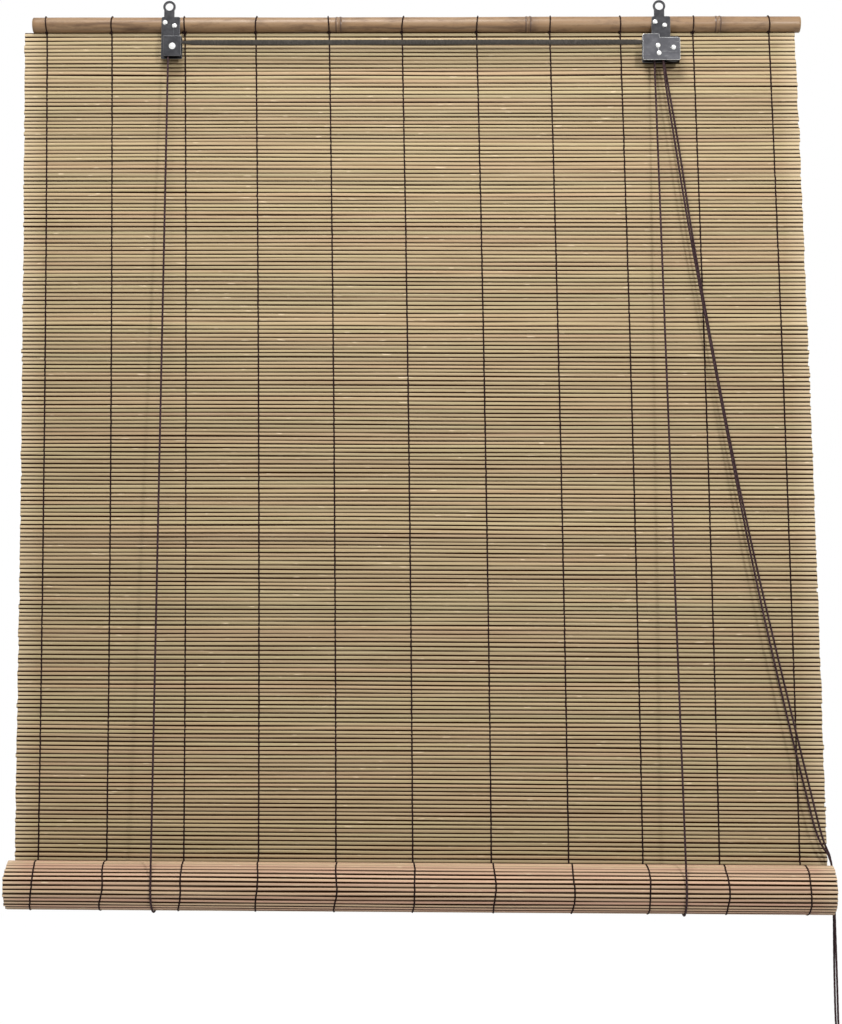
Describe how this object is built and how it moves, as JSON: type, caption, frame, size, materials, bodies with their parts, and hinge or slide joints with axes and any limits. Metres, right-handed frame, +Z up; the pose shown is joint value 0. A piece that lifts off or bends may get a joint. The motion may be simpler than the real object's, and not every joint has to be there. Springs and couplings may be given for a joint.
{
  "type": "reed roll up blind",
  "caption": "Stitched reed mat on a bamboo head pole, half rolled up on a bottom pole in two cord slings, with hanger eyes, a cord pulley, a toothed cord lock and pull cords.",
  "frame": {"origin": "midway between the centres of the two hanger eyes, in the middle of their plates", "axes": "+X along the head pole to the cord lock, +Y from the viewer to the window, +Z up"},
  "size_m": [1.0322, 0.0762, 1.3374],
  "materials": {
    "bamboo": "satin cane skin",
    "reed": "dry split reed",
    "stitching": "twisted thread",
    "brown_cord": "braided cord",
    "grey_cord": "braided cord",
    "dark_steel": "dark gunmetal",
    "plated_steel": "dull plating",
    "bright_steel": "bright nickel",
    "black_nylon": "moulded",
    "black_iron": "blackened"
  },
  "bodies": {
    "head": {"head_pole": "bamboo", "reed_mat": "reed", "hanger_plate_left": "dark_steel", "hanger_plate_right": "plated_steel", "pulley_housing_left": "dark_steel", "cord_lock_housing": "plated_steel", "hanger_nails_left": "bright_steel", "hanger_nails_right": "bright_steel", "pulley_rivet_left": "bright_steel", "cord_lock_rivets": "bright_steel", "crossing_cord": "grey_cord", "lift_cord_right_turn": "brown_cord", "pull_cord_left": "brown_cord", "pull_cord_right": "brown_cord", "pull_cord_coil": "brown_cord", "pull_cord_tie": "stitching", "stitch_thread_01": "stitching", "stitch_thread_02": "stitching", "stitch_thread_03": "stitching", "stitch_thread_04": "stitching", "stitch_thread_05": "stitching", "stitch_thread_06": "stitching", "stitch_thread_07": "stitching", "stitch_thread_08": "stitching", "stitch_thread_09": "stitching", "stitch_thread_10": "stitching", "stitch_thread_11": "stitching", "lift_cord_left_front": "brown_cord", "lift_cord_left_back": "brown_cord", "lift_cord_right_front": "brown_cord", "lift_cord_right_back": "brown_cord"},
    "lift_slings": {"lift_cord_left_sling": "brown_cord", "lift_cord_right_sling": "brown_cord"},
    "roll": {"reed_roll": "reed", "bottom_pole": "bamboo"},
    "pulley_left": {"pulley_left": "black_nylon"},
    "pulley_lock_upper": {"pulley_lock_upper": "black_nylon"},
    "pulley_lock_lower": {"pulley_lock_lower": "black_nylon"},
    "cord_lock_pawl": {"cord_lock_pawl": "black_iron"}
  },
  "joints": [
    {"name": "roll_lift", "type": "slide", "parent": "head", "child": "lift_slings", "axis": [0, 0, 1], "range_m": [0, 0.95], "deforming": ["reed_mat", "stitch_thread_01", "stitch_thread_02", "stitch_thread_03", "stitch_thread_04", "stitch_thread_05", "stitch_thread_06", "stitch_thread_07", "stitch_thread_08", "stitch_thread_09", "stitch_thread_10", "stitch_thread_11", "lift_cord_left_front", "lift_cord_right_front", "lift_cord_left_back", "lift_cord_right_back", "pull_cord_left", "pull_cord_right"]},
    {"name": "roll_turn", "type": "hinge", "parent": "lift_slings", "child": "roll", "pos_m": [0, -0.01846, -1.11805], "axis": [1, 0, 0], "range_deg": [-1860, 0]},
    {"name": "pulley_left_spin", "type": "hinge", "parent": "head", "child": "pulley_left", "pos_m": [-0.3108, -0.00525, -0.0564], "axis": [0, 1, 0], "continuous": true},
    {"name": "pulley_lock_upper_spin", "type": "hinge", "parent": "head", "child": "pulley_lock_upper", "pos_m": [0.3141, -0.00525, -0.0564], "axis": [0, 1, 0], "continuous": true},
    {"name": "pulley_lock_lower_spin", "type": "hinge", "parent": "head", "child": "pulley_lock_lower", "pos_m": [0.3154, -0.00525, -0.0665], "axis": [0, 1, 0], "continuous": true},
    {"name": "pawl_swing", "type": "hinge", "parent": "head", "child": "cord_lock_pawl", "pos_m": [0.334, -0.00525, -0.059], "axis": [0, -1, 0], "range_deg": [0, 30]}
  ],
  "couplings": [
    {"joint": "roll_turn", "follows": "roll_lift", "rad_per_m": -33.946}
  ]
}
